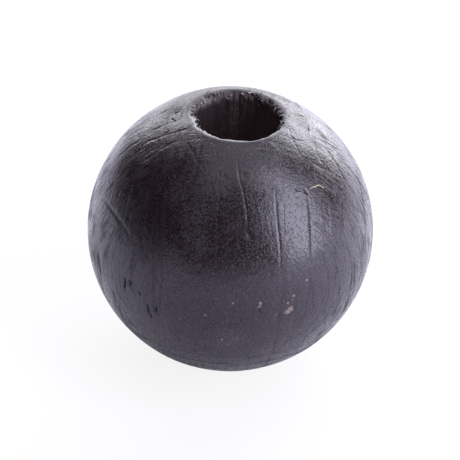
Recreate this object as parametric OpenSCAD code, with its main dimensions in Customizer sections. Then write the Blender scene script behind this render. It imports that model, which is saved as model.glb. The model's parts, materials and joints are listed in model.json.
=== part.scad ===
// Round wooden bead: a ball turned and drilled as one piece of wood.
// The bore runs along Z through the ball's centre, which is the origin. Millimetres.

/* [Ball] */
// Diameter of the ball
bead_d = 12; // [6:0.5:30]

/* [Bore] */
// Diameter of the drilled hole that the cord goes through
bore_d = 3.7; // [1:0.1:5]
// Radius of the worn rounding where the hole breaks out of each end
mouth_r = 0.15; // [0.05:0.05:0.25]
// Width of the flat land round each mouth, which the bead stands on
land_w = 0.06; // [0.02:0.02:0.2]

/* [Finish] */
// Colour of the dyed wood
dye_colour = "#2b262c"; // ["#2b262c":black, "#5a3a24":walnut, "#c9a26b":natural]

/* [Hidden] */
$fn = 96;

ball_r = bead_d / 2;
bore_r = bore_d / 2;
// The land lies between the rounding of the mouth and the ball's own curve
land_in_r = bore_r + mouth_r;
land_out_r = land_in_r + land_w;
// Height of each end face above the centre: where the ball has narrowed to the land
half_len = sqrt(pow(ball_r, 2) - pow(land_out_r, 2));

// The sharp corner of wood that the rounding at the upper mouth takes away
module mouth_corner() {
    translate([bore_r, half_len]) difference() {
        square(2 * mouth_r, center = true);
        translate([mouth_r, -mouth_r]) circle(r = mouth_r);
    }
}

// Half of the bead's section, from the bore's wall out to the ball's equator
module half_section() {
    difference() {
        intersection() {
            circle(r = ball_r);
            translate([bore_r, -half_len]) square([ball_r, 2 * half_len]);
        }
        for (lower = [0, 1]) mirror([0, lower]) mouth_corner();
    }
}

// The whole bead, its section turned round the bore
module bead() {
    color(dye_colour) rotate_extrude() half_section();
}

bead();
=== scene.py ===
# %% [markdown]
# # A black wooden bead
# The bead is one piece of wood: a ball turned on a lathe, drilled through, dyed black and thinly waxed.
# Nothing on it moves, so the whole likeness lies in its surface: the grain that the dye sank into, the
# pores and splits that catch the light, the torn fibres at the mouths of the bore, and the places where
# the dye has chipped away. The solid comes from the shared frame and fixes every size. This script puts
# the surface on it.

# %% Load the frame
import json
import math

import bpy
from mathutils import Matrix, Vector


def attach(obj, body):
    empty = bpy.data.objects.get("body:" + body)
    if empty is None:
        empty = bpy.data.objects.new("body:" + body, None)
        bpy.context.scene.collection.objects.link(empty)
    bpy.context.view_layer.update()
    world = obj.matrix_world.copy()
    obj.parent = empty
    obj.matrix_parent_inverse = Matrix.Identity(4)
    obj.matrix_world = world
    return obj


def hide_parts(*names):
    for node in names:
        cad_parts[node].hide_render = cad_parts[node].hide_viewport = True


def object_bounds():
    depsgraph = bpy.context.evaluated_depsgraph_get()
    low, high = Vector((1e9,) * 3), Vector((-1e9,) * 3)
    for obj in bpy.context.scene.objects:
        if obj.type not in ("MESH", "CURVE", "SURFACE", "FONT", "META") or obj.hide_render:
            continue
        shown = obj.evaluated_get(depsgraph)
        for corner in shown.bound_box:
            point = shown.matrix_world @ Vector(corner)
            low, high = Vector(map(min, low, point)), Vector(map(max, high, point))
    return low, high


MM = 0.001
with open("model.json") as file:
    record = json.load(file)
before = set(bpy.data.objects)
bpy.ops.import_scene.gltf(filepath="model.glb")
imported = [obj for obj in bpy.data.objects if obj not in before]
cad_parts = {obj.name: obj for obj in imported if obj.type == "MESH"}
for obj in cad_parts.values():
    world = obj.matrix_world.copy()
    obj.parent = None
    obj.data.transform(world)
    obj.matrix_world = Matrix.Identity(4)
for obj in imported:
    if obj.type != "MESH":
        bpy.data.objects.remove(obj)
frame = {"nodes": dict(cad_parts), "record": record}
cad_low, cad_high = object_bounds()
mounts = {mount["name"]: mount for mount in frame["record"]["mounts"]}
print("frame nodes:", sorted(frame["nodes"]))
print("box in mm:", [round(side / MM, 2) for side in cad_high - cad_low])

# %% [markdown]
# ## The sizes of the bead
# Four sizes make the bead's section: the ball, the bore, the worn rounding of the mouth and the narrow
# flat land that it stands on. They could be typed in here once more, but then they would drift from the
# solid. The frame gives the ball, the height, and the bore's radius and wall, and the rest follows from
# them.

# %% Read the sizes
ball_r = cad_high.x
half_len = cad_high.z
bore_r = mounts["bore"]["dims"]["r_mm"] * MM
mouth_r = half_len - mounts["bore"]["dims"]["length_mm"] * MM / 2
land_out_r = math.sqrt(ball_r**2 - half_len**2)
land_in_r = bore_r + mouth_r
print(f"ball {2 * ball_r / MM:.2f} mm, bore {2 * bore_r / MM:.2f} mm")
print(f"land {(land_out_r - land_in_r) / MM:.3f} mm wide, rounding {mouth_r / MM:.2f} mm")

# %% [markdown]
# ## The view
# The photograph shows the bead from above its front, with the bore leaning a little to the right. A
# camera can be moved by hand until the picture looks right, but measuring is surer: the ball's outline
# gives the scale, and the ellipse of the mouth gives the height and the lean. The lens is a long one,
# because the picture shows hardly any perspective.

# %% Place the camera
PICTURE_PX = 460
BALL_CENTRE_PX = (230.2, 228.7)
BALL_RADIUS_PX = 142.7
VIEW_HEIGHT = math.radians(33.5)
VIEW_LEAN = math.radians(3.4)
VIEW_DISTANCE = 30 * ball_r
NEAREST_SEEN = 0.1 * VIEW_DISTANCE

view_back = Vector((0, -math.cos(VIEW_HEIGHT), math.sin(VIEW_HEIGHT)))
level_right = Vector((1, 0, 0))
level_up = view_back.cross(level_right)
view_right = level_right * math.cos(VIEW_LEAN) + level_up * math.sin(VIEW_LEAN)
view_up = level_up * math.cos(VIEW_LEAN) - level_right * math.sin(VIEW_LEAN)
view_turn = Matrix((view_right, view_up, view_back)).transposed().to_4x4()

pixel = ball_r / BALL_RADIUS_PX
focal_px = BALL_RADIUS_PX * math.sqrt(VIEW_DISTANCE**2 - ball_r**2) / ball_r
off_right = (BALL_CENTRE_PX[0] - PICTURE_PX / 2) * pixel
off_up = (PICTURE_PX / 2 - BALL_CENTRE_PX[1]) * pixel
view_place = view_back * VIEW_DISTANCE - view_right * off_right - view_up * off_up

camera = bpy.data.objects.new("camera", bpy.data.cameras.new("camera"))
camera.data.lens = camera.data.sensor_width * focal_px / PICTURE_PX
camera.data.clip_start = NEAREST_SEEN
camera.matrix_world = Matrix.Translation(view_place) @ view_turn
bpy.context.scene.collection.objects.link(camera)
bpy.context.scene.camera = camera
bpy.context.scene.view_settings.view_transform = "Standard"
print(f"camera {VIEW_DISTANCE / MM:.0f} mm away with a {camera.data.lens:.0f} mm lens")

# %% [markdown]
# ## Building node trees
# Materials and Geometry Nodes are both trees of nodes, and most of the nodes that do sums or noise are
# the same in both. Such a tree can be drawn by hand in the editor, but a script shows every number and
# can be run again. A few short helpers keep it readable: each adds one node, feeds its inputs with a
# number or with another node's output, and hands back its result.

# %% Add a node and feed it
def feed(tree, node, inputs):
    """Feeds a node's inputs, each with a value or with another node's output."""
    for name, value in inputs.items():
        if isinstance(value, bpy.types.NodeSocket):
            tree.links.new(value, node.inputs[name])
        else:
            node.inputs[name].default_value = value


def add_node(tree, kind, inputs=None, **options):
    """Adds a node, sets its options and feeds its inputs."""
    node = tree.nodes.new(kind)
    for option, value in options.items():
        setattr(node, option, value)
    feed(tree, node, inputs or {})
    return node


# %% Sums on numbers
def calc(tree, operation, first, second=0.0):
    """One sum on numbers."""
    return add_node(tree, "ShaderNodeMath", {0: first, 1: second}, operation=operation).outputs[0]


def total(tree, *terms):
    """The sum of several numbers."""
    result = terms[0]
    for term in terms[1:]:
        result = calc(tree, "ADD", result, term)
    return result


def product(tree, *factors):
    """The product of several numbers."""
    result = factors[0]
    for factor in factors[1:]:
        result = calc(tree, "MULTIPLY", result, factor)
    return result


def rest_of(tree, share):
    """What a share leaves of 1."""
    return calc(tree, "SUBTRACT", 1.0, share)


def size_of(tree, value):
    """A number without its sign."""
    return calc(tree, "ABSOLUTE", value)


def ramp(tree, value, start, end, low=0.0, high=1.0):
    """A smooth step from low to high while value goes from start to end."""
    inputs = {"Value": value, "From Min": start, "From Max": end, "To Min": low, "To Max": high}
    return add_node(tree, "ShaderNodeMapRange", inputs, interpolation_type="SMOOTHSTEP").outputs["Result"]


# %% Sums on vectors
def split(tree, vector):
    """The three parts of a vector."""
    return add_node(tree, "ShaderNodeSeparateXYZ", {0: vector}).outputs


def joined(tree, x=0.0, y=0.0, z=0.0):
    """A vector of three parts."""
    return add_node(tree, "ShaderNodeCombineXYZ", {0: x, 1: y, 2: z}).outputs[0]


def arrow(tree, operation, first, second=(0.0, 0.0, 0.0)):
    """One sum on vectors that gives a vector."""
    node = add_node(tree, "ShaderNodeVectorMath", {0: first, 1: second}, operation=operation)
    return node.outputs["Vector"]


def scaled(tree, vector, size):
    """A vector made this many times as long."""
    node = add_node(tree, "ShaderNodeVectorMath", {0: vector, "Scale": size}, operation="SCALE")
    return node.outputs["Vector"]


def length_of(tree, vector):
    """How long a vector is."""
    return add_node(tree, "ShaderNodeVectorMath", {0: vector}, operation="LENGTH").outputs["Value"]


def dot(tree, first, second):
    """The dot product of two vectors."""
    node = add_node(tree, "ShaderNodeVectorMath", {0: first, 1: second}, operation="DOT_PRODUCT")
    return node.outputs["Value"]


# %% Noise
MIDDLE = 0.5


def noise(tree, place, per_mm, detail=2.0, rough=0.5):
    """Cloudy noise from 0 to 1, with this many blotches per millimetre along each axis."""
    place = arrow(tree, "MULTIPLY", place, per_mm)
    inputs = {"Vector": place, "Scale": 1.0, "Detail": detail, "Roughness": rough}
    return add_node(tree, "ShaderNodeTexNoise", inputs).outputs["Fac"]


def swing(tree, value, size):
    """Noise moved to lie about 0 and scaled to this size."""
    return product(tree, calc(tree, "SUBTRACT", value, MIDDLE), size)


# %% [markdown]
# ## The stage
# The bead stands on a plain white sheet. A white matt plane under strong lamps would do, but then the
# lamps would decide how white it is. So the floor's material shows white to the camera, and a part of it
# stays an ordinary matt surface, which keeps a soft shadow under the bead. The bead's gloss mirrors that
# matt surface with a glowing sheet mixed in, which is brightest behind and on the right. Far left and in
# front the sheet is dim, because this change from bright to dark gives the lower half of the ball its
# form.

# %% The white sheet
WHITE = (1, 1, 1, 1)
SHEET = (0.78, 0.765, 0.88)
SHADOW_SHARE = 0.12
MIRRORED_SHARE = 0.3
GLOW_FRONT, GLOW_BEHIND, GLOW_RIGHT = 0.9, 3.4, 2.4
# From where to where the glow changes, and from where the sheet is dim to where it is lit, in metres
GLOW_BACK_SPAN = (-0.5 * ball_r, 2 * ball_r)
GLOW_RIGHT_SPAN = (ball_r, 4 * ball_r)
LIT_LEFT_SPAN = (-0.08, -0.02)
LIT_FRONT_SPAN = (-0.12, -0.03)
DIM_SHARE = 0.3


def make_floor_material():
    """White paper that keeps part of the shadow that falls on it."""
    material = bpy.data.materials.new("white_sheet")
    material.use_nodes = True
    tree = material.node_tree
    tree.nodes.clear()
    path = add_node(tree, "ShaderNodeLightPath").outputs
    rightward, backward, _ = split(tree, add_node(tree, "ShaderNodeTexCoord").outputs["Object"])
    lit_left = ramp(tree, rightward, *LIT_LEFT_SPAN, DIM_SHARE, 1.0)
    lit = product(tree, lit_left, ramp(tree, backward, *LIT_FRONT_SPAN, DIM_SHARE, 1.0))
    glow_behind = ramp(tree, backward, *GLOW_BACK_SPAN, GLOW_FRONT, GLOW_BEHIND)
    glow_right = ramp(tree, rightward, *GLOW_RIGHT_SPAN, 0.0, GLOW_RIGHT)
    glow = product(tree, total(tree, glow_behind, glow_right), lit_left)
    matt = add_node(tree, "ShaderNodeBsdfDiffuse", {"Color": scaled(tree, SHEET, lit)}).outputs[0]
    white = add_node(tree, "ShaderNodeEmission", {"Color": WHITE, "Strength": 1.0}).outputs[0]
    mirrored = add_node(tree, "ShaderNodeEmission", {"Color": (*SHEET, 1), "Strength": glow}).outputs[0]
    seen = calc(tree, "MAXIMUM", path["Is Camera Ray"], path["Is Transmission Ray"])
    seen = product(tree, seen, 1 - SHADOW_SHARE)
    in_gloss = product(tree, path["Is Glossy Ray"], MIRRORED_SHARE)
    sheet = add_node(tree, "ShaderNodeMixShader", {0: seen, 1: matt, 2: white}).outputs[0]
    sheet = add_node(tree, "ShaderNodeMixShader", {0: in_gloss, 1: sheet, 2: mirrored}).outputs[0]
    add_node(tree, "ShaderNodeOutputMaterial", {"Surface": sheet})
    return material


# %% Floor and world
FLOOR_HALF = 1.0
ROOM_GREY = 0.02

floor_mesh = bpy.data.meshes.new("floor")
corners = [(x * FLOOR_HALF, y * FLOOR_HALF, cad_low.z) for x, y in ((-1, -1), (1, -1), (1, 1), (-1, 1))]
floor_mesh.from_pydata(corners, [], [(0, 1, 2, 3)])
floor_mesh.materials.append(make_floor_material())
floor = bpy.data.objects.new("floor", floor_mesh)
bpy.context.scene.collection.objects.link(floor)

world = bpy.data.worlds.new("room")
world.use_nodes = True
world.node_tree.nodes.clear()
camera_ray = add_node(world.node_tree, "ShaderNodeLightPath").outputs["Is Camera Ray"]
room = add_node(world.node_tree, "ShaderNodeBackground", {"Color": WHITE, "Strength": ROOM_GREY}).outputs[0]
paper = add_node(world.node_tree, "ShaderNodeBackground", {"Color": WHITE, "Strength": 1.0}).outputs[0]
both = add_node(world.node_tree, "ShaderNodeMixShader", {0: camera_ray, 1: room, 2: paper}).outputs[0]
add_node(world.node_tree, "ShaderNodeOutputWorld", {"Surface": both})
bpy.context.scene.world = world
print(f"floor at {cad_low.z / MM:.3f} mm")

# %% [markdown]
# ## The light
# A waxed black ball shows its lamps as reflections, so they can be read off it: a wide window on the
# right with a small pane above it, a second window behind, a pale wall behind on the left, and little
# from above. A picture of a room all round could light it too, but five soft rectangles that face the
# bead are easier to read and to move. The light from the right and from above is cool, and what comes
# from behind is nearly white.

# %% Lamps
LAMP_DISTANCE = 0.3
WINDOW_TINT = (0.92, 0.91, 1.0)
WALL_TINT = (0.97, 0.98, 1.0)
# Name: turn to the right of the camera and height, in degrees, width and height in metres, brightness, tint
SOFTBOXES = {
    "window_right": (65.5, 23, 0.2175, 0.255, 7.7, WINDOW_TINT),
    "window_top": (74, 57.5, 0.080, 0.122, 7.2, WINDOW_TINT),
    "window_behind": (154.5, 23, 0.2175, 0.255, 9.2, WALL_TINT),
    "wall_left": (196.5, 26, 0.210, 0.293, 5.2, WALL_TINT),
    "ceiling": (90, 90, 0.23, 0.23, 1.2, WINDOW_TINT),
}


def add_softbox(name, turn, height, wide, high, brightness, tint):
    """A rectangle of light that faces the bead. Its power follows from its brightness and its area."""
    turn, height = math.radians(turn), math.radians(height)
    way = Vector((math.sin(turn) * math.cos(height), -math.cos(turn) * math.cos(height), math.sin(height)))
    lamp = bpy.data.lights.new(name, "AREA")
    lamp.shape = "RECTANGLE"
    lamp.size, lamp.size_y = wide, high
    lamp.energy = brightness * math.pi * wide * high
    lamp.color = tint
    box = bpy.data.objects.new(name, lamp)
    box.location = way * LAMP_DISTANCE
    box.rotation_euler = way.to_track_quat("Z", "Y").to_euler()
    bpy.context.scene.collection.objects.link(box)


for name, settings in SOFTBOXES.items():
    add_softbox(name, *settings)
print("lamps:", ", ".join(SOFTBOXES))

# %% [markdown]
# ## The grain
# The bead was cut from a branch with its bore along the fibres, so the grain runs from mouth to mouth.
# The heart of the branch lay behind the bead: growth rings lie round it, and rays run out from it. A
# picture of wood wrapped round the ball would be pinched at the mouths. So a place in the wood is counted
# along three ways, along the ring, out from the heart and along the fibre, and every pattern below is
# stretched on them. On the sides the lines then run up and down, and near the mouths they show as arcs
# and spokes, as sawn end grain does. The same functions serve the mesh and the material, so relief and
# colour agree.

# %% Places in the wood
HEART_BEHIND = 16.0
# Cosines between the ways out from the heart and out of the surface
FACING_SPAN = (0.35, 0.75)


def wood_place(tree, position):
    """Two vectors in millimetres: the plain place, and the place along the ring, outward and along."""
    plain = scaled(tree, position, 1 / MM)
    x, y, z = split(tree, plain)
    before_heart = calc(tree, "SUBTRACT", HEART_BEHIND, y)
    outward = length_of(tree, joined(tree, x, before_heart))
    along_ring = product(tree, calc(tree, "ARCTAN2", x, before_heart), HEART_BEHIND)
    return plain, joined(tree, along_ring, outward, z)


def level_part(tree, plain):
    """A place without its height."""
    return arrow(tree, "MULTIPLY", plain, (1, 1, 0))


def facing(tree, plain):
    """1 where the surface faces straight out from the heart of the branch, 0 where it is cut across."""
    from_heart = arrow(tree, "SUBTRACT", level_part(tree, plain), (0, HEART_BEHIND, 0))
    cosine = dot(tree, arrow(tree, "NORMALIZE", from_heart), arrow(tree, "NORMALIZE", plain))
    return ramp(tree, cosine, *FACING_SPAN)


print(f"the heart of the branch lies {HEART_BEHIND / (ball_r / MM):.1f} ball radii behind the bore")

# %% Lines of the grain
# Lines per millimetre along the ring, outward and along the fibre
RAYS_PER_MM = (1.3, 0.13, 0.06)
RINGS_PER_MM = (0.13, 1.3, 0.06)
THIN_RINGS_PER_MM = (0.6, 5.5, 0.4)
TURNING_PER_MM = (0.08, 0.08, 2.2)
GAP_EDGE = 0.14
# From where to where lines set in, sideways and downwards in millimetres
FLANK = (2.8, 4.0)
LOWER_END = (-2.4, -3.2)


def hairlines(tree, wood, per_mm, half_width, gaps_per_mm=(0.9, 0.9, 0.3), gaps=0.46):
    """1 on thin broken lines that wander along the grain, 0 between them. They follow a level of noise."""
    level = size_of(tree, calc(tree, "SUBTRACT", noise(tree, wood, per_mm, detail=1.5), MIDDLE))
    broken = ramp(tree, noise(tree, wood, gaps_per_mm), gaps, gaps + GAP_EDGE)
    return product(tree, ramp(tree, level, half_width, 0.0), broken)


def grain_lines(tree, plain, wood, half_width):
    """Lines along the rays, and lines between growth rings where the surface cuts across them."""
    rays = hairlines(tree, wood, RAYS_PER_MM, half_width)
    rings = hairlines(tree, wood, RINGS_PER_MM, half_width)
    return calc(tree, "MAXIMUM", rays, product(tree, rings, rest_of(tree, facing(tree, plain))))


def thin_rings(tree, plain, wood):
    """The close lines of the growth rings on the left and right sides, which cut across them."""
    thin = hairlines(tree, wood, THIN_RINGS_PER_MM, half_width=0.08, gaps_per_mm=(1.4, 1.4, 1.0), gaps=0.38)
    return product(tree, thin, ramp(tree, size_of(tree, split(tree, plain)[0]), *FLANK))


def turning_lines(tree, plain):
    """Faint lines round the bead near its lower end, where the lathe tool came off the wood."""
    lines = hairlines(tree, plain, TURNING_PER_MM, half_width=0.06, gaps_per_mm=(0.3, 0.3, 1.0), gaps=0.34)
    return product(tree, lines, ramp(tree, split(tree, plain)[2], *LOWER_END))


# %% [markdown]
# ## Zones of wear
# Wear isn't the same all over. Round the upper mouth the wax is worn off the end grain, and near both
# ends of the bore the drill tore the wood, most of all at the sides and behind. Such zones could be
# painted on the mesh by hand. Here each is a short function of the place, so colour, relief and fibres
# keep the same borders.

# %% Zones at the mouths
bore_mm, land_mm, half_len_mm = bore_r / MM, land_out_r / MM, half_len / MM
# Borders in millimetres, each from where to where its zone sets in
DULL_HEIGHT, DULL_BEHIND, DULL_SIDES = (4.6, 5.4), (0.2, 1.6), 0.43
TORN_REACH, TORN_WHOLE = 0.6, 0.15
TORN_SIDES, TORN_AT_MIDDLE = (0.3, 1.5), 0.4
TORN_BEHIND, TORN_IN_FRONT, TORN_SKEW = (-1.7, -0.4), 0.15, -0.25
TUFT_EDGE = (0.47, 0.66)
BARE_BELOW, RAGGED, FAR_SIDE, FAR_SIDE_RISE = (0.20, 0.36), 0.4, (-0.3, 1.0), 0.2


def inward(tree, plain, start, end):
    """0 on the ball and 1 in the bore, with the change between two distances from the axis."""
    return ramp(tree, length_of(tree, level_part(tree, plain)), start, end)


def below_end(tree, plain):
    """How far a place lies below the nearer end face."""
    return calc(tree, "SUBTRACT", half_len_mm, size_of(tree, split(tree, plain)[2]))


def dull_wax(tree, plain):
    """1 beside and behind the upper mouth, where the wax is worn off, and 0 further away."""
    x, y, z = split(tree, plain)
    not_front = total(tree, y, product(tree, size_of(tree, x), DULL_SIDES))
    return product(tree, ramp(tree, z, *DULL_HEIGHT), ramp(tree, not_front, *DULL_BEHIND))


def torn_share(tree, plain):
    """1 where the drill tore the fibres most, close to the ends at the sides, and 0 deep in the bore."""
    x, y, _ = split(tree, plain)
    sides = ramp(tree, size_of(tree, x), *TORN_SIDES, TORN_AT_MIDDLE, 1.0)
    behind = ramp(tree, total(tree, y, product(tree, x, TORN_SKEW)), *TORN_BEHIND, TORN_IN_FRONT, 1.0)
    return product(tree, ramp(tree, below_end(tree, plain), TORN_REACH, TORN_WHOLE), sides, behind)


def tufts(tree, plain):
    """1 on the bundles of fibre that stand up from the torn wall of the bore and 0 between them."""
    return ramp(tree, noise(tree, plain, (7, 7, 1.0), detail=2), *TUFT_EDGE)


def bare_bore(tree, plain):
    """1 below the ragged waxed edge and 0 in the rounding of the mouth. It counts in the bore only."""
    ragged = swing(tree, noise(tree, plain, (8, 8, 1.5), detail=2), RAGGED)
    far_side = ramp(tree, split(tree, plain)[1], *FAR_SIDE, 0.0, FAR_SIDE_RISE)
    return ramp(tree, total(tree, below_end(tree, plain), ragged, far_side), *BARE_BELOW)


print(f"the drill tore the wood down to {TORN_REACH} mm of {2 * half_len_mm:.1f} mm from each end")

# %% [markdown]
# ## The wood of the bore
# The wall of the bore was drilled and never waxed: it is matt and fibrous, brown where the dye ran in
# least, and pale where fibre is torn. Towards the right it is painted a lighter brown, which is painted
# light, because that side of the wall gets little light. It could be a part of the waxed wood's material,
# but the gloss of wax has one strength for a whole material, so the wall gets its own, and the two meet
# below a ragged edge.

# %% Helpers for materials
def start_material(name):
    """A material with one Principled shader wired to its output. Returns it with its tree and its shader."""
    material = bpy.data.materials.new(name)
    material.use_nodes = True
    tree = material.node_tree
    tree.nodes.clear()
    shader = add_node(tree, "ShaderNodeBsdfPrincipled")
    add_node(tree, "ShaderNodeOutputMaterial", {"Surface": shader.outputs[0]})
    return material, tree, shader


def own_place(tree):
    """The piece's own coordinates in metres."""
    return add_node(tree, "ShaderNodeTexCoord").outputs["Object"]


def blend_colour(tree, share, first, second):
    """The first colour, giving way to the second as share goes from 0 to 1."""
    return add_node(tree, "ShaderNodeMix", {0: share, 6: first, 7: second}, data_type="RGBA").outputs[2]


def bumped(tree, height, distance):
    """A normal for a bump of this height, counted in this distance."""
    inputs = {"Height": height, "Distance": distance, "Strength": 1.0}
    return add_node(tree, "ShaderNodeBump", inputs).outputs[0]


# %% Material of the bore
BORE_DARK = (0.027, 0.0185, 0.0212, 1)
# The brown is also painted light: it is the colour given to the poorly lit right wall of the bore.
BORE_BROWN_AND_FILL = (0.180, 0.130, 0.140, 1)
TORN_PALE = (0.24, 0.215, 0.23, 1)
DYE_RUNS, DYE_FLECKS, DYE_FADE = 0.6, 1.2, 0.35
UNDYED_AND_FILL = (-0.4, 1.5)
PALE_BETWEEN, PALE_TUFTS = 0.6, 0.4
RAW_GLOSS, RAW_ROUGH, RAW_SWING = 0.12, 0.8, 0.3
BORE_FIBRES, BORE_LUMPS = 0.018, 0.030


def bore_colour(tree, plain):
    """Brown wood that the dye only ran into from the ends, with pale torn fibre near the mouths. Towards the
    right the brown is lighter, which is painted light, because the right wall gets little light.
    """
    runs = swing(tree, noise(tree, plain, (2.5, 2.5, 0.8)), DYE_RUNS)
    flecks = swing(tree, noise(tree, plain, (10, 10, 6)), DYE_FLECKS)
    fade = product(tree, below_end(tree, plain), DYE_FADE)
    # Painted light: the ramp follows x, so the bore's right wall, which gets little light, is painted a
    # lighter brown.
    undyed_and_fill = ramp(tree, total(tree, split(tree, plain)[0], fade, runs, flecks), *UNDYED_AND_FILL)
    fibre = total(tree, PALE_BETWEEN, product(tree, tufts(tree, plain), PALE_TUFTS))
    colour = blend_colour(tree, undyed_and_fill, BORE_DARK, BORE_BROWN_AND_FILL)
    return blend_colour(tree, product(tree, fibre, torn_share(tree, plain)), colour, TORN_PALE)


def make_bore_wood():
    """The bore's wall: drilled and unwaxed, so it is matt and fibrous."""
    material, tree, shader = start_material("bore_wood")
    plain = scaled(tree, own_place(tree), 1 / MM)
    fibres = swing(tree, noise(tree, plain, (14, 14, 1.5), detail=2), BORE_FIBRES)
    lumps = swing(tree, noise(tree, plain, (12, 12, 10)), BORE_LUMPS)
    feed(tree, shader, {
        "Base Color": bore_colour(tree, plain),
        "Roughness": total(tree, RAW_ROUGH, swing(tree, noise(tree, plain, (8, 8, 1)), RAW_SWING)),
        "Normal": bumped(tree, total(tree, fibres, lumps), MM),
        "Specular IOR Level": RAW_GLOSS,
    })
    return material


bore_wood = make_bore_wood()
print("nodes of the bore's wood:", len(bore_wood.node_tree.nodes))

# %% [markdown]
# ## The dyed wood
# Black dye over a brown wood, under a thin wax. The colour is nearly black with a red-brown fleck, and
# the gloss is satin and faintly violet, which the shader's specular tint gives. One even black would look
# like plastic, so colour, gloss and bump all vary with the grain. The mesh carries what the material
# can't know by itself: the marks with their depths, where dye is chipped off or worn thin, and how far a
# place is in the bore. The finest pores and fibres are smaller than the mesh can hold, so they are bump.
# On the worn lip of the mouth the bump fades and the gloss is duller.

# %% What the looks depend on
# How far from the land the worn lip begins, and from where to where the bore is raw
LIP_EDGE, RAW_EDGE = 0.16, (0.2, 0.5)
MARK_RAGGED, CHIP_RAGGED, CHIP_EDGE = 1.2, 0.9, (0.45, 0.6)
FINE_LINE, CROWDING, SPECK_EDGE = 0.03, 0.2, (0.47, 0.35)
# Where the fine texture is calmer: from where to where, and its share at both
CALM_LEFT, CALM_TOP = (-4.6, -2.6, 0.5, 0.88), (2.0, 4.0, 1.0, 0.8)
# How deep a mark is where it is darkest, and the share of darkness that each other feature brings. The
# darkness is dark dye and painted shade in the hollows.
DEEP_MARK = (0.003, 0.04)
DEEP_SHARES = {"lines": 0.4, "thin": 0.5, "turned": 0.35, "specks": 0.30}


def mark_profile(tree, side):
    """1 on the middle line of a mark and 0 from its edge outwards. Side counts half widths across it."""
    return ramp(tree, size_of(tree, side), 1.0, 0.0)


def weighed(tree, at, weights):
    """The named features of a place, each times its weight."""
    return [product(tree, at[name], weight) for name, weight in weights.items()]


def wood_features(tree):
    """What the colour, gloss and bump at a place of the bead depend on, by name."""
    plain, wood = wood_place(tree, own_place(tree))
    right, _, high = split(tree, plain)
    at = {"plain": plain, "wood": wood, "right": right, "high": high}
    for name in ("chip", "worn", "bore", "mark_side", "mark_depth"):
        at[name] = add_node(tree, "ShaderNodeAttribute", attribute_name=name).outputs["Fac"]
    at["skin"] = rest_of(tree, at["bore"])
    at["raw"] = product(tree, bare_bore(tree, plain), ramp(tree, at["bore"], *RAW_EDGE))
    at["lip"] = inward(tree, plain, land_mm + LIP_EDGE, land_mm)
    at["dull"] = dull_wax(tree, plain)
    at["lines"] = grain_lines(tree, plain, wood, FINE_LINE)
    at["skin_lines"] = product(tree, at["lines"], at["skin"])
    at["thin"] = product(tree, thin_rings(tree, plain, wood), at["skin"])
    at["turned"] = turning_lines(tree, plain)
    at["grain"] = noise(tree, plain, (15, 15, 13), detail=1)
    at["calm"] = product(tree, ramp(tree, right, *CALM_LEFT), ramp(tree, high, *CALM_TOP))
    crowding = swing(tree, noise(tree, wood, (4, 4, 2)), CROWDING)
    specks = total(tree, noise(tree, wood, (15, 15, 11), detail=1), crowding)
    at["specks"] = product(tree, ramp(tree, specks, *SPECK_EDGE), at["calm"])
    ragged = noise(tree, plain, (9, 9, 9))
    at["bare"] = ramp(tree, total(tree, at["chip"], swing(tree, ragged, CHIP_RAGGED)), *CHIP_EDGE)
    side = total(tree, at["mark_side"], swing(tree, ragged, MARK_RAGGED))
    at["mark"] = product(tree, mark_profile(tree, side), at["mark_depth"])
    deep = total(tree, ramp(tree, at["mark"], *DEEP_MARK), *weighed(tree, at, DEEP_SHARES))
    at["deep"] = calc(tree, "MINIMUM", deep, 1.0)
    return at


# %% Colour of the dyed wood
GREY_DYE = (0.012, 0.0112, 0.0130, 1)
BROWN_DYE = (0.0205, 0.0098, 0.0135, 1)
PALE_GRAIN = (0.046, 0.040, 0.046, 1)
DARK_DYE_AND_SHADE = (0.004, 0.003, 0.0035, 1)
BARE_WOOD = (0.160, 0.136, 0.122, 1)
REDDER_LEFT, BROWN_EDGE = (0.5, -4.0, 0.0, 0.25), (0.34, 0.66)
WORN_EDGE, WORN_PALER, PALE_EDGE = (0.0, 0.8), 0.15, (0.52, 0.72)


def dyed_colour(tree, at):
    """Black with brown flecks, pale on worn grain, darkest where it is deep, as dark dye and painted shade
    in the hollows, and bare on the chips.
    """
    flecks = noise(tree, at["wood"], (6, 6, 4), detail=2, rough=0.65)
    brown = ramp(tree, total(tree, flecks, ramp(tree, at["right"], *REDDER_LEFT)), *BROWN_EDGE)
    paler = product(tree, ramp(tree, at["worn"], *WORN_EDGE), WORN_PALER)
    pale = ramp(tree, total(tree, at["grain"], paler), *PALE_EDGE)
    colour = blend_colour(tree, brown, GREY_DYE, BROWN_DYE)
    colour = blend_colour(tree, pale, colour, PALE_GRAIN)
    # Dark dye and painted shade: the marks, lines, pores and specks are darkened where shade would fall in
    # them.
    colour = blend_colour(tree, at["deep"], colour, DARK_DYE_AND_SHADE)
    colour = blend_colour(tree, at["raw"], colour, bore_colour(tree, at["plain"]))
    return blend_colour(tree, at["bare"], colour, BARE_WOOD)


# %% Gloss and bump of the dyed wood
WAX_TINT = (0.87, 0.86, 1.0, 1)
WAX_GLOSS = 0.60
SATIN = 0.26
ROUGH_CLOUDS, ROUGH_GRAIN, ROUGH_PATCHES = 0.14, 0.24, 0.16
# What each feature adds to the roughness
ROUGHER = {"deep": 0.5, "specks": 0.15, "raw": 0.45, "dull": 0.25, "lip": 0.12, "bare": 0.3}
# Heights in millimetres, and for a mark the share of its depth that is bump
FINE_BUMP, LUMP_BUMP, FIBRE_BUMP = 0.0130, 0.012, 0.007
LUMPS_ON_TOP = (1.5, 3.5, 1.0, 0.9)
HIGHER = {"specks": -0.003, "thin": -0.006, "turned": -0.018, "skin_lines": -0.005, "mark": -0.4}
LIP_SMOOTHED = 0.8


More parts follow.
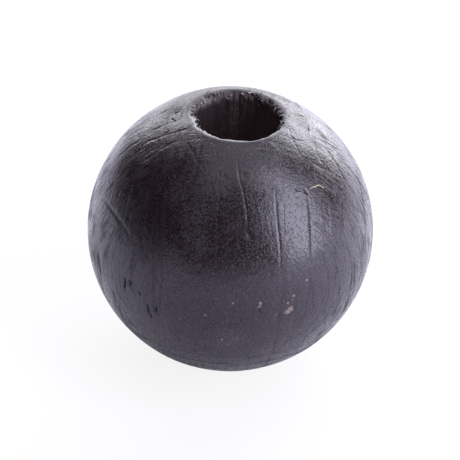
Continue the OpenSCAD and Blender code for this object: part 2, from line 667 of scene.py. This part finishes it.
def dyed_roughness(tree, at):
    """Satin wax, rougher in clouds, on the grain and wherever the wax is gone."""
    clouds = swing(tree, noise(tree, at["wood"], (3, 3, 1)), ROUGH_CLOUDS)
    grain = swing(tree, at["grain"], ROUGH_GRAIN)
    patches = swing(tree, noise(tree, at["wood"], (1.4, 1.4, 0.9)), ROUGH_PATCHES)
    return total(tree, SATIN, clouds, grain, patches, *weighed(tree, at, ROUGHER))


def dyed_height(tree, at):
    """Height of the bump in millimetres: lumpy dye, fibres, and all the fine lines and specks."""
    fine = swing(tree, noise(tree, at["plain"], (12, 12, 8), detail=2, rough=0.6), FINE_BUMP)
    lumps = swing(tree, noise(tree, at["plain"], (5, 5, 3), detail=1), LUMP_BUMP)
    lumps = product(tree, lumps, ramp(tree, at["high"], *LUMPS_ON_TOP))
    fibres = swing(tree, noise(tree, at["wood"], (9, 9, 0.9)), FIBRE_BUMP)
    height = total(tree, product(tree, fine, at["calm"]), lumps, fibres, *weighed(tree, at, HIGHER))
    return product(tree, height, rest_of(tree, product(tree, at["lip"], at["skin"], LIP_SMOOTHED)))


def make_dyed_wood():
    """Black dyed, thinly waxed wood with open grain."""
    material, tree, shader = start_material("dyed_wood")
    at = wood_features(tree)
    feed(tree, shader, {
        "Base Color": dyed_colour(tree, at),
        "Roughness": dyed_roughness(tree, at),
        "Normal": bumped(tree, dyed_height(tree, at), MM),
        "Specular IOR Level": WAX_GLOSS,
        "Specular Tint": WAX_TINT,
    })
    return material


dyed_wood = make_dyed_wood()
print("nodes of the dyed wood:", len(dyed_wood.node_tree.nodes))

# %% [markdown]
# ## Marks that time left
# Some marks stand out: the long grooves on the right of the front, splits beside the mouth, open pores
# low on the left, a scratch, and the spots where dye has chipped off. They could be carved by hand in
# Sculpt Mode. Here they are given by their pixels in the photograph, and each is cast through the camera
# on to the ball, so it lies on the surface from every side and moves when a number is changed. A mark
# fades towards its ends.

# %% Marks by their pixels
# Depth at the middle of the mark, negative for a raised line, and half its width, in millimetres
SPLIT = (0.040, 0.055)
FAINT_SPLIT = (0.023, 0.050)
HAIR = (0.017, 0.045)
FURROW = (0.030, 0.060)
FAINT_FURROW = (0.020, 0.060)
SCRATCH = (0.016, 0.110)
GROOVE = (0.014, 0.060)
FAINT_GROOVE = (0.012, 0.070)
RIDGE = (-0.014, 0.070)
PIT = (0.055, 0.080)
LINES_PX = [
    (FAINT_FURROW, [(289, 128), (293, 139), (298, 150), (300, 156)]),
    (SPLIT, [(292, 136), (295, 143)]),
    (SPLIT, [(307.5, 125.5), (309.5, 132.5)]),
    (FAINT_SPLIT, [(298, 115), (305, 117)]),
    (FAINT_SPLIT, [(318, 139), (329, 144), (339, 151)]),
    (FAINT_SPLIT, [(293, 140), (304, 141)]),
    (FAINT_FURROW, [(314, 140), (318, 154), (321, 163)]),
    (FAINT_FURROW, [(325, 148), (337, 165), (346, 184), (357, 198)]),
    (FURROW, [(353, 158), (358, 176), (362, 193), (365, 223), (365.5, 240)]),
    (HAIR, [(140, 146), (155, 139), (170, 134), (189, 129)]),
    (FAINT_SPLIT, [(147, 142), (157, 138)]),
    (FAINT_SPLIT, [(172, 133), (188, 128.7)]),
    (HAIR, [(133, 146), (141, 140)]),
    (HAIR, [(131, 166), (150, 152), (163, 145)]),
    (HAIR, [(145, 160), (160, 150), (172, 144)]),
    (HAIR, [(119, 169), (131, 158)]),
    (HAIR, [(164, 147), (180, 139)]),
    (HAIR, [(149, 146), (154, 153)]),
    (HAIR, [(137, 135), (142, 142)]),
    (HAIR, [(127, 161), (137, 153.5), (147, 146)]),
    (FAINT_SPLIT, [(160, 136), (170, 131)]),
    (FAINT_SPLIT, [(155, 117), (165, 111), (174, 108)]),
    (SPLIT, [(175, 113.5), (179, 111)]),
    (SPLIT, [(171, 118.5), (176, 122)]),
    (FAINT_SPLIT, [(117, 158), (132, 145), (143, 139)]),
    (FAINT_SPLIT, [(354, 270), (354, 287)]),
    (FAINT_SPLIT, [(336, 296), (332, 306), (327, 315)]),
    (GROOVE, [(275, 186), (276.5, 211), (278, 227), (280, 247), (281, 276)]),
    (FURROW, [(308, 196), (309, 216), (310, 233), (310.5, 264)]),
    (GROOVE, [(187, 141), (192, 151), (199, 166)]),
    (SCRATCH, [(101, 196), (110, 208), (119, 220), (130, 235)]),
    (FAINT_GROOVE, [(236, 149), (240, 180), (247, 210), (248, 248)]),
    (RIDGE, [(294, 192), (302, 192), (307, 196)]),
    (RIDGE, [(328, 199), (330.5, 214), (332, 242)]),
    (RIDGE, [(344, 218), (344, 231)]),
    (PIT, [(125, 278), (124.5, 289)]),
    (PIT, [(130.5, 280), (130.5, 286)]),
    (PIT, [(139.5, 291), (140, 297)]),
    (PIT, [(148, 303), (149, 314)]),
    (PIT, [(156, 306), (156, 312)]),
    (PIT, [(151, 314), (152, 319)]),
    (PIT, [(259.5, 308), (259.5, 312)]),
]
# Middle and radius of each spot where the dye is gone
CHIPS_PX = [
    ((291, 309), 3.2), ((287.5, 312), 2.8), ((261, 303.5), 2.2), ((259.5, 306.5), 1.9), ((288, 303), 1.5),
    ((294, 296), 1.6), ((293, 299), 1.4), ((307, 280), 1.6), ((277, 315), 1.3), ((226, 313), 1.6),
    ((205, 315.5), 1.7), ((179.5, 319.5), 1.6), ((233, 303), 1.4), ((237, 339), 1.4), ((228, 345), 1.3),
    ((222, 340), 1.3),
]
# Middle and radius of each patch where the dye is worn thin
WORN_PX = [
    ((197, 210), 17), ((210, 188), 16), ((178, 192), 12), ((196, 240), 12), ((172, 262), 14),
    ((226, 340), 14),
]
print("marks:", len(LINES_PX), "lines,", len(CHIPS_PX), "chips,", len(WORN_PX), "worn patches")

# %% Cast marks on the ball
TRACE_STEP_PX = 1.0


def on_ball(spot):
    """The point of the ball that shows at this pixel of the photograph."""
    right, up = spot[0] - PICTURE_PX / 2, PICTURE_PX / 2 - spot[1]
    way = (view_right * right + view_up * up - view_back * focal_px).normalized()
    ahead = -view_place.dot(way)
    closest_squared = view_place.length_squared - ahead**2
    return view_place + way * (ahead - math.sqrt(ball_r**2 - closest_squared))


def trace(corner_spots):
    """Points on the ball along a line of pixels, close together."""
    spots = []
    for start, end in zip(corner_spots, corner_spots[1:]):
        steps = max(1, round(math.dist(start, end) / TRACE_STEP_PX))
        spots += [tuple(a + (b - a) * step / steps for a, b in zip(start, end)) for step in range(steps)]
    return [on_ball(spot) for spot in spots + [corner_spots[-1]]]


def make_wire(name, points, edges, **values):
    """A wire mesh that a tree measures distances to, with named numbers at its points."""
    mesh = bpy.data.meshes.new(name)
    mesh.from_pydata(points, edges, [])
    for value_name, numbers in values.items():
        mesh.attributes.new(value_name, "FLOAT", "POINT").data.foreach_set("value", numbers)
    wire = bpy.data.objects.new(name, mesh)
    bpy.context.scene.collection.objects.link(wire)
    return wire


def make_spots(name, spots):
    """Points on the ball that carry their radius, from their pixels."""
    radii = [size * pixel for _, size in spots]
    return make_wire(name, [on_ball(spot) for spot, _ in spots], [], radius=radii)


def make_line_marks():
    """One wire of all the line marks. Its points carry the depth, half the width and the way it runs."""
    points, edges, depths, half_widths, ways = [], [], [], [], []
    for (depth, half_width), corner_spots in LINES_PX:
        line = trace(corner_spots)
        last = len(line) - 1
        edges += [(len(points) + step, len(points) + step + 1) for step in range(last)]
        points += line
        depths += [2 * depth * math.sqrt(step * (last - step)) / last for step in range(last + 1)]
        half_widths += [half_width * MM] * len(line)
        ways += [line[min(step + 1, last)] - line[max(step - 1, 0)] for step in range(last + 1)]
    wire = make_wire("line_marks", points, edges, depth=depths, half_width=half_widths)
    numbers = [part for way in ways for part in way]
    wire.data.attributes.new("way", "FLOAT_VECTOR", "POINT").data.foreach_set("vector", numbers)
    return wire


line_marks = make_line_marks()
chips = make_spots("chips", CHIPS_PX)
worn_patches = make_spots("worn_patches", WORN_PX)
print("points cast on the ball:", [len(wire.data.vertices) for wire in (line_marks, chips, worn_patches)])

# %% [markdown]
# ## The bead's section
# The bead is a solid of revolution. A ready-made sphere with a hole cut through it would have ragged
# faces at the mouths, so half a section is drawn and swept round the bore. The steps are finest round the
# girth, because the grain's lines run lengthwise, and along the bore they crowd towards the mouths.

# %% Draw the section
STEPS_ROUND = 560
BALL_STEPS = 138
MOUTH_STEPS = 5
TORN_STEPS = 9
DEEP_STEPS = 8


def arc(centre, radius, start, end, steps):
    """Points (radius, height) along an arc, from one angle to another in degrees, without its last point."""
    angles = [math.radians(start + (end - start) * step / steps) for step in range(steps)]
    return [(centre[0] + radius * math.cos(angle), centre[1] + radius * math.sin(angle)) for angle in angles]


def upright(start, end, steps):
    """Points (radius, height) up the bore's wall from one height to another, without the last point."""
    return [(bore_r, start + (end - start) * step / steps) for step in range(steps)]


def section_points():
    """The closed outline of half the section: down the ball, in below, up the bore and out on top."""
    ball_end = math.degrees(math.asin(half_len / ball_r))
    wall_half = half_len - mouth_r
    deep_half = wall_half - TORN_REACH * MM
    ball = arc((0, 0), ball_r, ball_end, -ball_end, BALL_STEPS)
    lower_mouth = arc((land_in_r, -wall_half), mouth_r, -90, -180, MOUTH_STEPS)
    lower_torn = upright(-wall_half, -deep_half, TORN_STEPS)
    deep = upright(-deep_half, deep_half, DEEP_STEPS)
    upper_torn = upright(deep_half, wall_half, TORN_STEPS)
    upper_mouth = arc((land_in_r, wall_half), mouth_r, 180, 90, MOUTH_STEPS)
    wall = lower_torn + deep + upper_torn
    return ball + [(land_out_r, -half_len)] + lower_mouth + wall + upper_mouth + [(land_in_r, half_len)]


section = section_points()
section_mesh = bpy.data.meshes.new("section")
loop = [(step, (step + 1) % len(section)) for step in range(len(section))]
section_mesh.from_pydata([(radius - bore_r, -height, 0) for radius, height in section], loop, [])
bead = bpy.data.objects.new("bead_skin", section_mesh)
bpy.context.scene.collection.objects.link(bead)
print("section points:", len(section), "faces to come:", len(section) * STEPS_ROUND)

# %% [markdown]
# ## The relief of the bead
# Bump only tilts the light, and the plain mesh would lose it, so all the larger relief is real. A
# Geometry Nodes tree sweeps the section and then moves each point along its normal. The height is a sum
# of what happened to the wood: it dried a little out of round, its rings and rays sank as lines, pores
# opened, the marks above were cut, and the drill tore the bore. The lip of each mouth moves towards the
# axis and away from it instead, which makes it lumpy and chipped, and worn down most at the front right.
# Depths are in millimetres and named, so each can be tried.

# %% Measure the marks
WANDER_PER_MM = (3, 3, 3)
# How far out a mark still counts, and from where to where its depth fades, in half widths
MARK_REACH, MARK_FADE = 3.0, (2.9, 2.0)
AT_RADIUS = 0.5


def wandering(tree, position, plain, size):
    """The position shifted about by noise, so that a straight line measured from it wanders."""
    inputs = {"Vector": arrow(tree, "MULTIPLY", plain, WANDER_PER_MM), "Scale": 1.0, "Detail": 2.0}
    cloud = add_node(tree, "ShaderNodeTexNoise", inputs).outputs["Color"]
    shift = scaled(tree, arrow(tree, "SUBTRACT", cloud, (MIDDLE, MIDDLE, MIDDLE)), size * MM)
    return arrow(tree, "ADD", position, shift)


def carried(tree, name, kind="FLOAT"):
    """A value that a mesh carries at each point."""
    return add_node(tree, "GeometryNodeInputNamedAttribute", {"Name": name}, data_type=kind).outputs[0]


def nearest(tree, wire, position, element):
    """The distance to a wire, its nearest place, and a function that reads a value of its nearest point."""
    geometry = add_node(tree, "GeometryNodeObjectInfo", {"Object": wire}).outputs["Geometry"]
    inputs = {"Geometry": geometry, "Sample Position": position}
    near = add_node(tree, "GeometryNodeProximity", inputs, target_element=element).outputs
    index = add_node(tree, "GeometryNodeSampleNearest", inputs).outputs[0]

    def read(name, kind="FLOAT"):
        inputs = {"Geometry": geometry, "Value": carried(tree, name, kind), "Index": index}
        return add_node(tree, "GeometryNodeSampleIndex", inputs, data_type=kind).outputs[0]

    return near["Distance"], near["Position"], read


def measure_marks(tree, wire, position):
    """How far a place lies to one side of the nearest mark, in half widths, and that mark's depth."""
    distance, place, read = nearest(tree, wire, position, "EDGES")
    across = arrow(tree, "CROSS_PRODUCT", read("way", "FLOAT_VECTOR"), position)
    which_side = calc(tree, "SIGN", dot(tree, arrow(tree, "SUBTRACT", position, place), across))
    half_widths = calc(tree, "MINIMUM", calc(tree, "DIVIDE", distance, read("half_width")), MARK_REACH)
    depth = product(tree, read("depth"), ramp(tree, half_widths, *MARK_FADE))
    return product(tree, half_widths, which_side), depth


def measure_spots(tree, points, position):
    """1 in the middle of the nearest spot, 0.5 at its radius, and below 0 further out."""
    distance, _, read = nearest(tree, points, position, "POINTS")
    return rest_of(tree, product(tree, calc(tree, "DIVIDE", distance, read("radius")), AT_RADIUS))


# %% Relief of the ball
OUT_OF_ROUND = 0.05
WAVES = 0.020
FIBRE_DEPTH = 0.004
LINE_DEPTH, LINE_HALF_WIDTH = 0.006, 0.07
PORE_DEPTH, PORE_SHARE, PORE_EDGE = 0.020, 0.12, (0.36, 0.16)
CHIP_DEPTH, CHIP_SLOPE = 0.020, (0.35, 0.7)


def pores(tree, wood, per_mm, share):
    """1 in the middle of scattered long pits, 0 between them. Only this share of the cells holds a pit."""
    inputs = {"Vector": arrow(tree, "MULTIPLY", wood, per_mm), "Scale": 1.0, "Randomness": 1.0}
    cells = add_node(tree, "ShaderNodeTexVoronoi", inputs).outputs
    chosen = calc(tree, "LESS_THAN", split(tree, cells["Color"])[0], share)
    return product(tree, ramp(tree, cells["Distance"], *PORE_EDGE), chosen)


def ball_relief(tree, plain, wood, mark_side, mark_depth, chip):
    """Height of the ball's surface in millimetres."""
    return total(
        tree,
        swing(tree, noise(tree, plain, (0.22, 0.22, 0.22), detail=1), OUT_OF_ROUND),
        swing(tree, noise(tree, wood, (0.7, 0.7, 0.35), detail=1), WAVES),
        swing(tree, noise(tree, wood, (5.5, 5.5, 0.45)), FIBRE_DEPTH),
        product(tree, grain_lines(tree, plain, wood, LINE_HALF_WIDTH), -LINE_DEPTH),
        product(tree, pores(tree, wood, (3.2, 3.2, 1.0), PORE_SHARE), -PORE_DEPTH),
        product(tree, mark_profile(tree, mark_side), mark_depth, -1.0),
        product(tree, ramp(tree, chip, *CHIP_SLOPE), -CHIP_DEPTH),
    )


print("relief of the ball in mm:", {"waves": WAVES, "lines": LINE_DEPTH, "pores": PORE_DEPTH})

# %% Relief of the bore and the mouths
BORE_TEAR = 0.05
TUFT_HEIGHT = 0.06
LIP_TEAR = 0.20
LIP_CHIPS = 0.18
LIP_WEAR, LIP_WORN_WAY, LIP_WORN = 0.08, (0.75, -0.66, 0), (0.9, 1.9)
LUMP_HEIGHT, LUMP_EDGE = 0.16, (0.45, 0.68)


def bore_relief(tree, plain):
    """Height of the bore's wall in millimetres: long torn fibres, rough at the mouths."""
    fibres = swing(tree, noise(tree, plain, (4.5, 4.5, 0.5), detail=3, rough=0.6), BORE_TEAR)
    ragged = swing(tree, noise(tree, plain, (2.4, 2.4, 2.4), detail=3, rough=0.6), BORE_TEAR)
    tuft = product(tree, tufts(tree, plain), torn_share(tree, plain), TUFT_HEIGHT)
    return total(tree, fibres, ragged, tuft)


def lip_relief(tree, plain):
    """How far the lip stands in towards the axis, in millimetres: torn, chipped, worn and lumpy."""
    torn = swing(tree, noise(tree, plain, (1.2, 1.2, 0.6), detail=2), LIP_TEAR)
    worn = product(tree, ramp(tree, dot(tree, plain, LIP_WORN_WAY), *LIP_WORN), -LIP_WEAR)
    chipped = swing(tree, noise(tree, plain, (2.8, 2.8, 1.2)), LIP_CHIPS)
    lumps = ramp(tree, noise(tree, plain, (4.2, 4.2, 1.5), detail=2), *LUMP_EDGE)
    return total(tree, torn, worn, chipped, product(tree, lumps, torn_share(tree, plain), LUMP_HEIGHT))


print("relief of the lip in mm:", {"tear": LIP_TEAR, "chips": LIP_CHIPS, "lumps": LUMP_HEIGHT})

# %% Inputs and result of a tree
def add_inputs(tree, **kinds):
    """Gives a tree its named inputs."""
    for name, kind in kinds.items():
        tree.interface.new_socket(name.replace("_", " "), in_out="INPUT", socket_type="NodeSocket" + kind)
    return add_node(tree, "NodeGroupInput").outputs


def add_result(tree, geometry, material, part=None):
    """Ends a tree: plain smooth mesh with its material, and with another one on a part of it."""
    tree.interface.new_socket("Result", in_out="OUTPUT", socket_type="NodeSocketGeometry")
    geometry = add_node(tree, "GeometryNodeRealizeInstances", {"Geometry": geometry}).outputs[0]
    geometry = add_node(tree, "GeometryNodeSetShadeSmooth", {"Geometry": geometry}).outputs[0]
    inputs = {"Geometry": geometry, "Material": material}
    geometry = add_node(tree, "GeometryNodeSetMaterial", inputs).outputs[0]
    if part:
        geometry = add_node(tree, "GeometryNodeSetMaterial", {"Geometry": geometry, **part}).outputs[0]
    add_node(tree, "NodeGroupOutput", {"Result": geometry})


def grow(piece, tree, inputs):
    """Runs a tree on an object with these inputs and leaves the result as its plain mesh."""
    sockets = [item for item in tree.interface.items_tree if item.in_out == "INPUT"]
    identifiers = {socket.name: socket.identifier for socket in sockets}
    modifier = piece.modifiers.new(tree.name, "NODES")
    modifier.node_group = tree
    for name, value in inputs.items():
        modifier[identifiers[name]] = value
    grown = bpy.data.meshes.new_from_object(piece.evaluated_get(bpy.context.evaluated_depsgraph_get()))
    piece.modifiers.remove(modifier)
    piece.data = grown
    return grown


# %% The bead's tree
MARK_WANDER, WORN_WANDER = 0.12, 0.5
# Distances from the bore's wall or from the land at which the bore, the lip and the ball set in
BORE_STARTS, BORE_WHOLE, LIP_STARTS, BALL_WHOLE = 0.09, 0.01, 0.1, 0.2
ALL_BARE = 0.97


def make_bead_tree():
    """Sweeps the section round the bore, raises the relief and stores what the material reads."""
    tree = bpy.data.node_groups.new("bead", "GeometryNodeTree")
    given = add_inputs(tree, Section="Geometry", Steps_Round="Int", Bore_Radius="Float", Line_Marks="Object",
                       Chips="Object", Worn="Object", Wood="Material", Bore_Wood="Material")
    outline = add_node(tree, "GeometryNodeMeshToCurve", {"Mesh": given["Section"]}).outputs[0]
    inputs = {"Resolution": given["Steps Round"], "Radius": given["Bore Radius"]}
    way_round = add_node(tree, "GeometryNodeCurvePrimitiveCircle", inputs).outputs[0]
    inputs = {"Curve": way_round, "Profile Curve": outline}
    geometry = add_node(tree, "GeometryNodeCurveToMesh", inputs).outputs[0]

    position = add_node(tree, "GeometryNodeInputPosition").outputs[0]
    plain, wood = wood_place(tree, position)
    bore = inward(tree, plain, bore_mm + BORE_STARTS, bore_mm + BORE_WHOLE)
    lip = inward(tree, plain, land_mm + LIP_STARTS, bore_mm)
    outside = rest_of(tree, inward(tree, plain, land_mm + BALL_WHOLE, land_mm))
    astray = wandering(tree, position, plain, MARK_WANDER)
    mark_side, mark_depth = measure_marks(tree, given["Line Marks"], astray)
    chip = measure_spots(tree, given["Chips"], position)
    worn = measure_spots(tree, given["Worn"], wandering(tree, position, plain, WORN_WANDER))
    relief = ball_relief(tree, plain, wood, mark_side, mark_depth, chip)
    height = total(tree, product(tree, relief, outside), product(tree, bore_relief(tree, plain), bore))
    to_axis = arrow(tree, "NORMALIZE", arrow(tree, "MULTIPLY", plain, (-1, -1, 0)))
    sideways = scaled(tree, to_axis, product(tree, lip_relief(tree, plain), lip, MM))

    values = {"mark_side": mark_side, "mark_depth": mark_depth, "chip": chip, "worn": worn, "bore": bore}
    for name, value in values.items():
        inputs = {"Geometry": geometry, "Name": name, "Value": value}
        store = add_node(tree, "GeometryNodeStoreNamedAttribute", inputs, data_type="FLOAT", domain="POINT")
        geometry = store.outputs[0]
    normal = add_node(tree, "GeometryNodeInputNormal").outputs[0]
    offset = arrow(tree, "ADD", scaled(tree, normal, product(tree, height, MM)), sideways)
    geometry = add_node(tree, "GeometryNodeSetPosition", {"Geometry": geometry, "Offset": offset}).outputs[0]
    bare = product(tree, carried(tree, "bore"), bare_bore(tree, plain))
    in_bore = calc(tree, "GREATER_THAN", bare, ALL_BARE)
    add_result(tree, geometry, given["Wood"], {"Selection": in_bore, "Material": given["Bore Wood"]})
    return tree


# %% Grow the bead
bead_mesh = grow(bead, make_bead_tree(), {
    "Steps Round": STEPS_ROUND, "Bore Radius": bore_r, "Line Marks": line_marks, "Chips": chips,
    "Worn": worn_patches, "Wood": dyed_wood, "Bore Wood": bore_wood,
})
for wire in (line_marks, chips, worn_patches):
    bpy.data.objects.remove(wire)
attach(bead, "root")
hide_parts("bead")
print("bead faces:", len(bead_mesh.polygons))
print("values it carries:", [value.name for value in bead_mesh.attributes if value.domain == "POINT"])

# %% [markdown]
# ## Torn fibres
# A drill that leaves the wood lifts the last fibres instead of cutting them. Both mouths are fringed with
# pale slivers, most of them at the sides and behind. Hair would give such a fringe, but its strands
# aren't solid. So points are strewn over the torn part of the finished wall, and each carries one
# tapered, bent sliver that leans into the bore. A sliver at the lower mouth is kept shorter than the room
# below it, because the bead stands on the floor there.

# %% Material of the torn fibres
FIBRE_PALE = (0.30, 0.28, 0.305, 1)
FIBRE_DYED = (0.130, 0.115, 0.122, 1)
DYED_EDGE = (0.40, 0.62)
FIBRE_BUMP_MM, FIBRE_ROUGH = 0.02, 0.7


def make_torn_wood():
    """Broken wood that took little dye."""
    material, tree, shader = start_material("torn_wood")
    plain = scaled(tree, own_place(tree), 1 / MM)
    dyed = ramp(tree, noise(tree, plain, (5, 5, 5), detail=3), *DYED_EDGE)
    feed(tree, shader, {
        "Base Color": blend_colour(tree, dyed, FIBRE_PALE, FIBRE_DYED),
        "Roughness": FIBRE_ROUGH,
        "Normal": bumped(tree, noise(tree, plain, (30, 30, 6), detail=2), FIBRE_BUMP_MM * MM),
    })
    return material


# %% One sliver
SLIVER_BEND = 1.5


def make_sliver(tree):
    """A tapered splinter, one unit long, that bends over towards its tip."""
    inputs = {"Vertices": 5, "Side Segments": 3, "Radius Top": 0.25, "Radius Bottom": 1.0, "Depth": 1.0}
    cone = add_node(tree, "GeometryNodeMeshCone", inputs).outputs["Mesh"]
    along = split(tree, add_node(tree, "GeometryNodeInputPosition").outputs[0])[2]
    bend = joined(tree, product(tree, along, along, SLIVER_BEND))
    return add_node(tree, "GeometryNodeSetPosition", {"Geometry": cone, "Offset": bend}).outputs[0]


# %% Strew the slivers
FIBRES_PER_MM2 = 70
FIBRE_SEED, ASTRAY_SEEDS, THICK_SEED, LONG_SEED = 4, (11, 12, 13), 21, 22
FIBRE_RISE, FIBRE_ASTRAY = 0.25, 0.8
FIBRE_SHORTEST, FIBRE_LONGEST = 0.06, 0.20
FIBRE_THINNEST, FIBRE_THICKEST = 0.012, 0.080
ROOM_SHARE, STOUTEST = 0.6, 0.4
# Where slivers grow: how deep below the end, how far into the bore, and in which clumps
GROW_BELOW, GROW_IN, CLUMP_EDGE = (0.50, 0.10), (0.6, 0.95), (0.42, 0.62)


def random_number(tree, low, high, seed):
    """A number for each point, between two bounds."""
    inputs = {2: low, 3: high, 8: seed}
    return add_node(tree, "FunctionNodeRandomValue", inputs, data_type="FLOAT").outputs[1]


def sliver_size(tree, plain, upper):
    """Thickness and length of each sliver. Few are thick, and at the lower mouth each fits its room."""
    below = product(tree, below_end(tree, plain), ROOM_SHARE)
    room = product(tree, total(tree, below, product(tree, upper, FIBRE_LONGEST)), MM)
    chance = random_number(tree, 0.0, 1.0, THICK_SEED)
    extra = product(tree, chance, chance, chance, (FIBRE_THICKEST - FIBRE_THINNEST) * MM)
    thick = calc(tree, "MINIMUM", total(tree, extra, FIBRE_THINNEST * MM), product(tree, room, STOUTEST))
    long = random_number(tree, FIBRE_SHORTEST * MM, FIBRE_LONGEST * MM, LONG_SEED)
    return joined(tree, thick, thick, calc(tree, "MINIMUM", long, room))


def make_fibre_tree():
    """Strews points over the torn wall of the bore and grows a sliver on each."""
    tree = bpy.data.node_groups.new("torn_fibres", "GeometryNodeTree")
    given = add_inputs(tree, Own="Geometry", Bead="Object", Per_Area="Float", Seed="Int", Wood="Material")
    skin = add_node(tree, "GeometryNodeObjectInfo", {"Object": given["Bead"]}).outputs["Geometry"]
    position = add_node(tree, "GeometryNodeInputPosition").outputs[0]
    plain = scaled(tree, position, 1 / MM)
    close = ramp(tree, below_end(tree, plain), *GROW_BELOW)
    clumps = ramp(tree, noise(tree, plain, (2.0, 2.0, 2.0)), *CLUMP_EDGE)
    inside = ramp(tree, carried(tree, "bore"), *GROW_IN)
    density = product(tree, torn_share(tree, plain), inside, close, clumps, given["Per Area"])
    inputs = {"Mesh": skin, "Density": density, "Seed": given["Seed"]}
    strewn = add_node(tree, "GeometryNodeDistributePointsOnFaces", inputs).outputs

    upper = calc(tree, "MAXIMUM", calc(tree, "SIGN", split(tree, position)[2]), 0.0)
    endward = joined(tree, z=product(tree, upper, FIBRE_RISE))
    astray = joined(tree, *(random_number(tree, -FIBRE_ASTRAY, FIBRE_ASTRAY, seed) for seed in ASTRAY_SEEDS))
    way = arrow(tree, "ADD", arrow(tree, "ADD", strewn["Normal"], endward), astray)
    turn = add_node(tree, "FunctionNodeAlignRotationToVector", {"Vector": way}).outputs[0]
    inputs = {"Points": strewn["Points"], "Instance": make_sliver(tree), "Rotation": turn,
              "Scale": sliver_size(tree, plain, upper)}
    add_result(tree, add_node(tree, "GeometryNodeInstanceOnPoints", inputs).outputs[0], given["Wood"])
    return tree


# %% Grow the torn fibres
torn_fibres = bpy.data.objects.new("torn_fibres", bpy.data.meshes.new("torn_fibres"))
bpy.context.scene.collection.objects.link(torn_fibres)
fibre_mesh = grow(torn_fibres, make_fibre_tree(), {
    "Bead": bead, "Per Area": FIBRES_PER_MM2 / MM**2, "Seed": FIBRE_SEED, "Wood": make_torn_wood(),
})
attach(torn_fibres, "root")
print("torn fibres:", len(fibre_mesh.polygons), "faces")

# %% [markdown]
# ## A stray fibre
# A straw coloured fibre lies on the right of the front, bent in the middle. It is dirt and no part of the
# wood. Painted on it would look flat, so it is a loose thin tube of its own: its path is cast on to the
# ball, lifted by its own thickness, and swept with ends that run out to a point.

# %% Material of the stray fibre
STRAW = (0.42, 0.39, 0.22, 1)
DRY_STRAW = (0.27, 0.25, 0.15, 1)
DRY_EDGE = (0.4, 0.6)
STRAW_BUMP_MM, STRAW_ROUGH = 0.005, 0.5


def make_straw():
    """Dry plant fibre, paler and darker along its length."""
    material, tree, shader = start_material("straw")
    plain = scaled(tree, own_place(tree), 1 / MM)
    dry = ramp(tree, noise(tree, plain, (6, 6, 6), detail=3), *DRY_EDGE)
    feed(tree, shader, {
        "Base Color": blend_colour(tree, dry, STRAW, DRY_STRAW),
        "Roughness": STRAW_ROUGH,
        "Normal": bumped(tree, noise(tree, plain, (40, 40, 40)), STRAW_BUMP_MM * MM),
    })
    return material


# %% Lay the stray fibre
STRAY_PX = [(309.5, 188.6), (313, 187.4), (318, 185.2), (320.5, 186.2), (323.5, 188.2)]
STRAY_RADIUS = 0.018
STRAY_LIFT = 0.02
STRAY_STEPS, STRAY_SIDES = 40, 8
# The share of its length over which each end tapers, and the share of the radius that is left at the tip
TAPER_REACH, TIP_SHARE = 0.15, 0.15


def make_stray_tree():
    """Sweeps a thin tube with pointed ends along a wire."""
    tree = bpy.data.node_groups.new("stray_fibre", "GeometryNodeTree")
    given = add_inputs(tree, Path="Geometry", Radius="Float", Straw="Material")
    line = add_node(tree, "GeometryNodeMeshToCurve", {"Mesh": given["Path"]}).outputs[0]
    line = add_node(tree, "GeometryNodeResampleCurve", {"Curve": line, "Count": STRAY_STEPS}).outputs[0]
    share = add_node(tree, "GeometryNodeSplineParameter").outputs["Factor"]
    from_end = calc(tree, "MINIMUM", share, rest_of(tree, share))
    inputs = {"Curve": line, "Radius": ramp(tree, from_end, 0.0, TAPER_REACH, TIP_SHARE, 1.0)}
    line = add_node(tree, "GeometryNodeSetCurveRadius", inputs).outputs[0]
    inputs = {"Resolution": STRAY_SIDES, "Radius": given["Radius"]}
    ring = add_node(tree, "GeometryNodeCurvePrimitiveCircle", inputs).outputs[0]
    inputs = {"Curve": line, "Profile Curve": ring, "Fill Caps": True}
    add_result(tree, add_node(tree, "GeometryNodeCurveToMesh", inputs).outputs[0], given["Straw"])
    return tree


stray_points = [point * (1 + STRAY_LIFT * MM / ball_r) for point in trace(STRAY_PX)]
stray_edges = [(step, step + 1) for step in range(len(stray_points) - 1)]
stray_fibre = make_wire("stray_fibre", stray_points, stray_edges)
stray_mesh = grow(stray_fibre, make_stray_tree(), {"Radius": STRAY_RADIUS * MM, "Straw": make_straw()})
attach(stray_fibre, "root")
print("stray fibre:", len(stray_mesh.polygons), "faces")
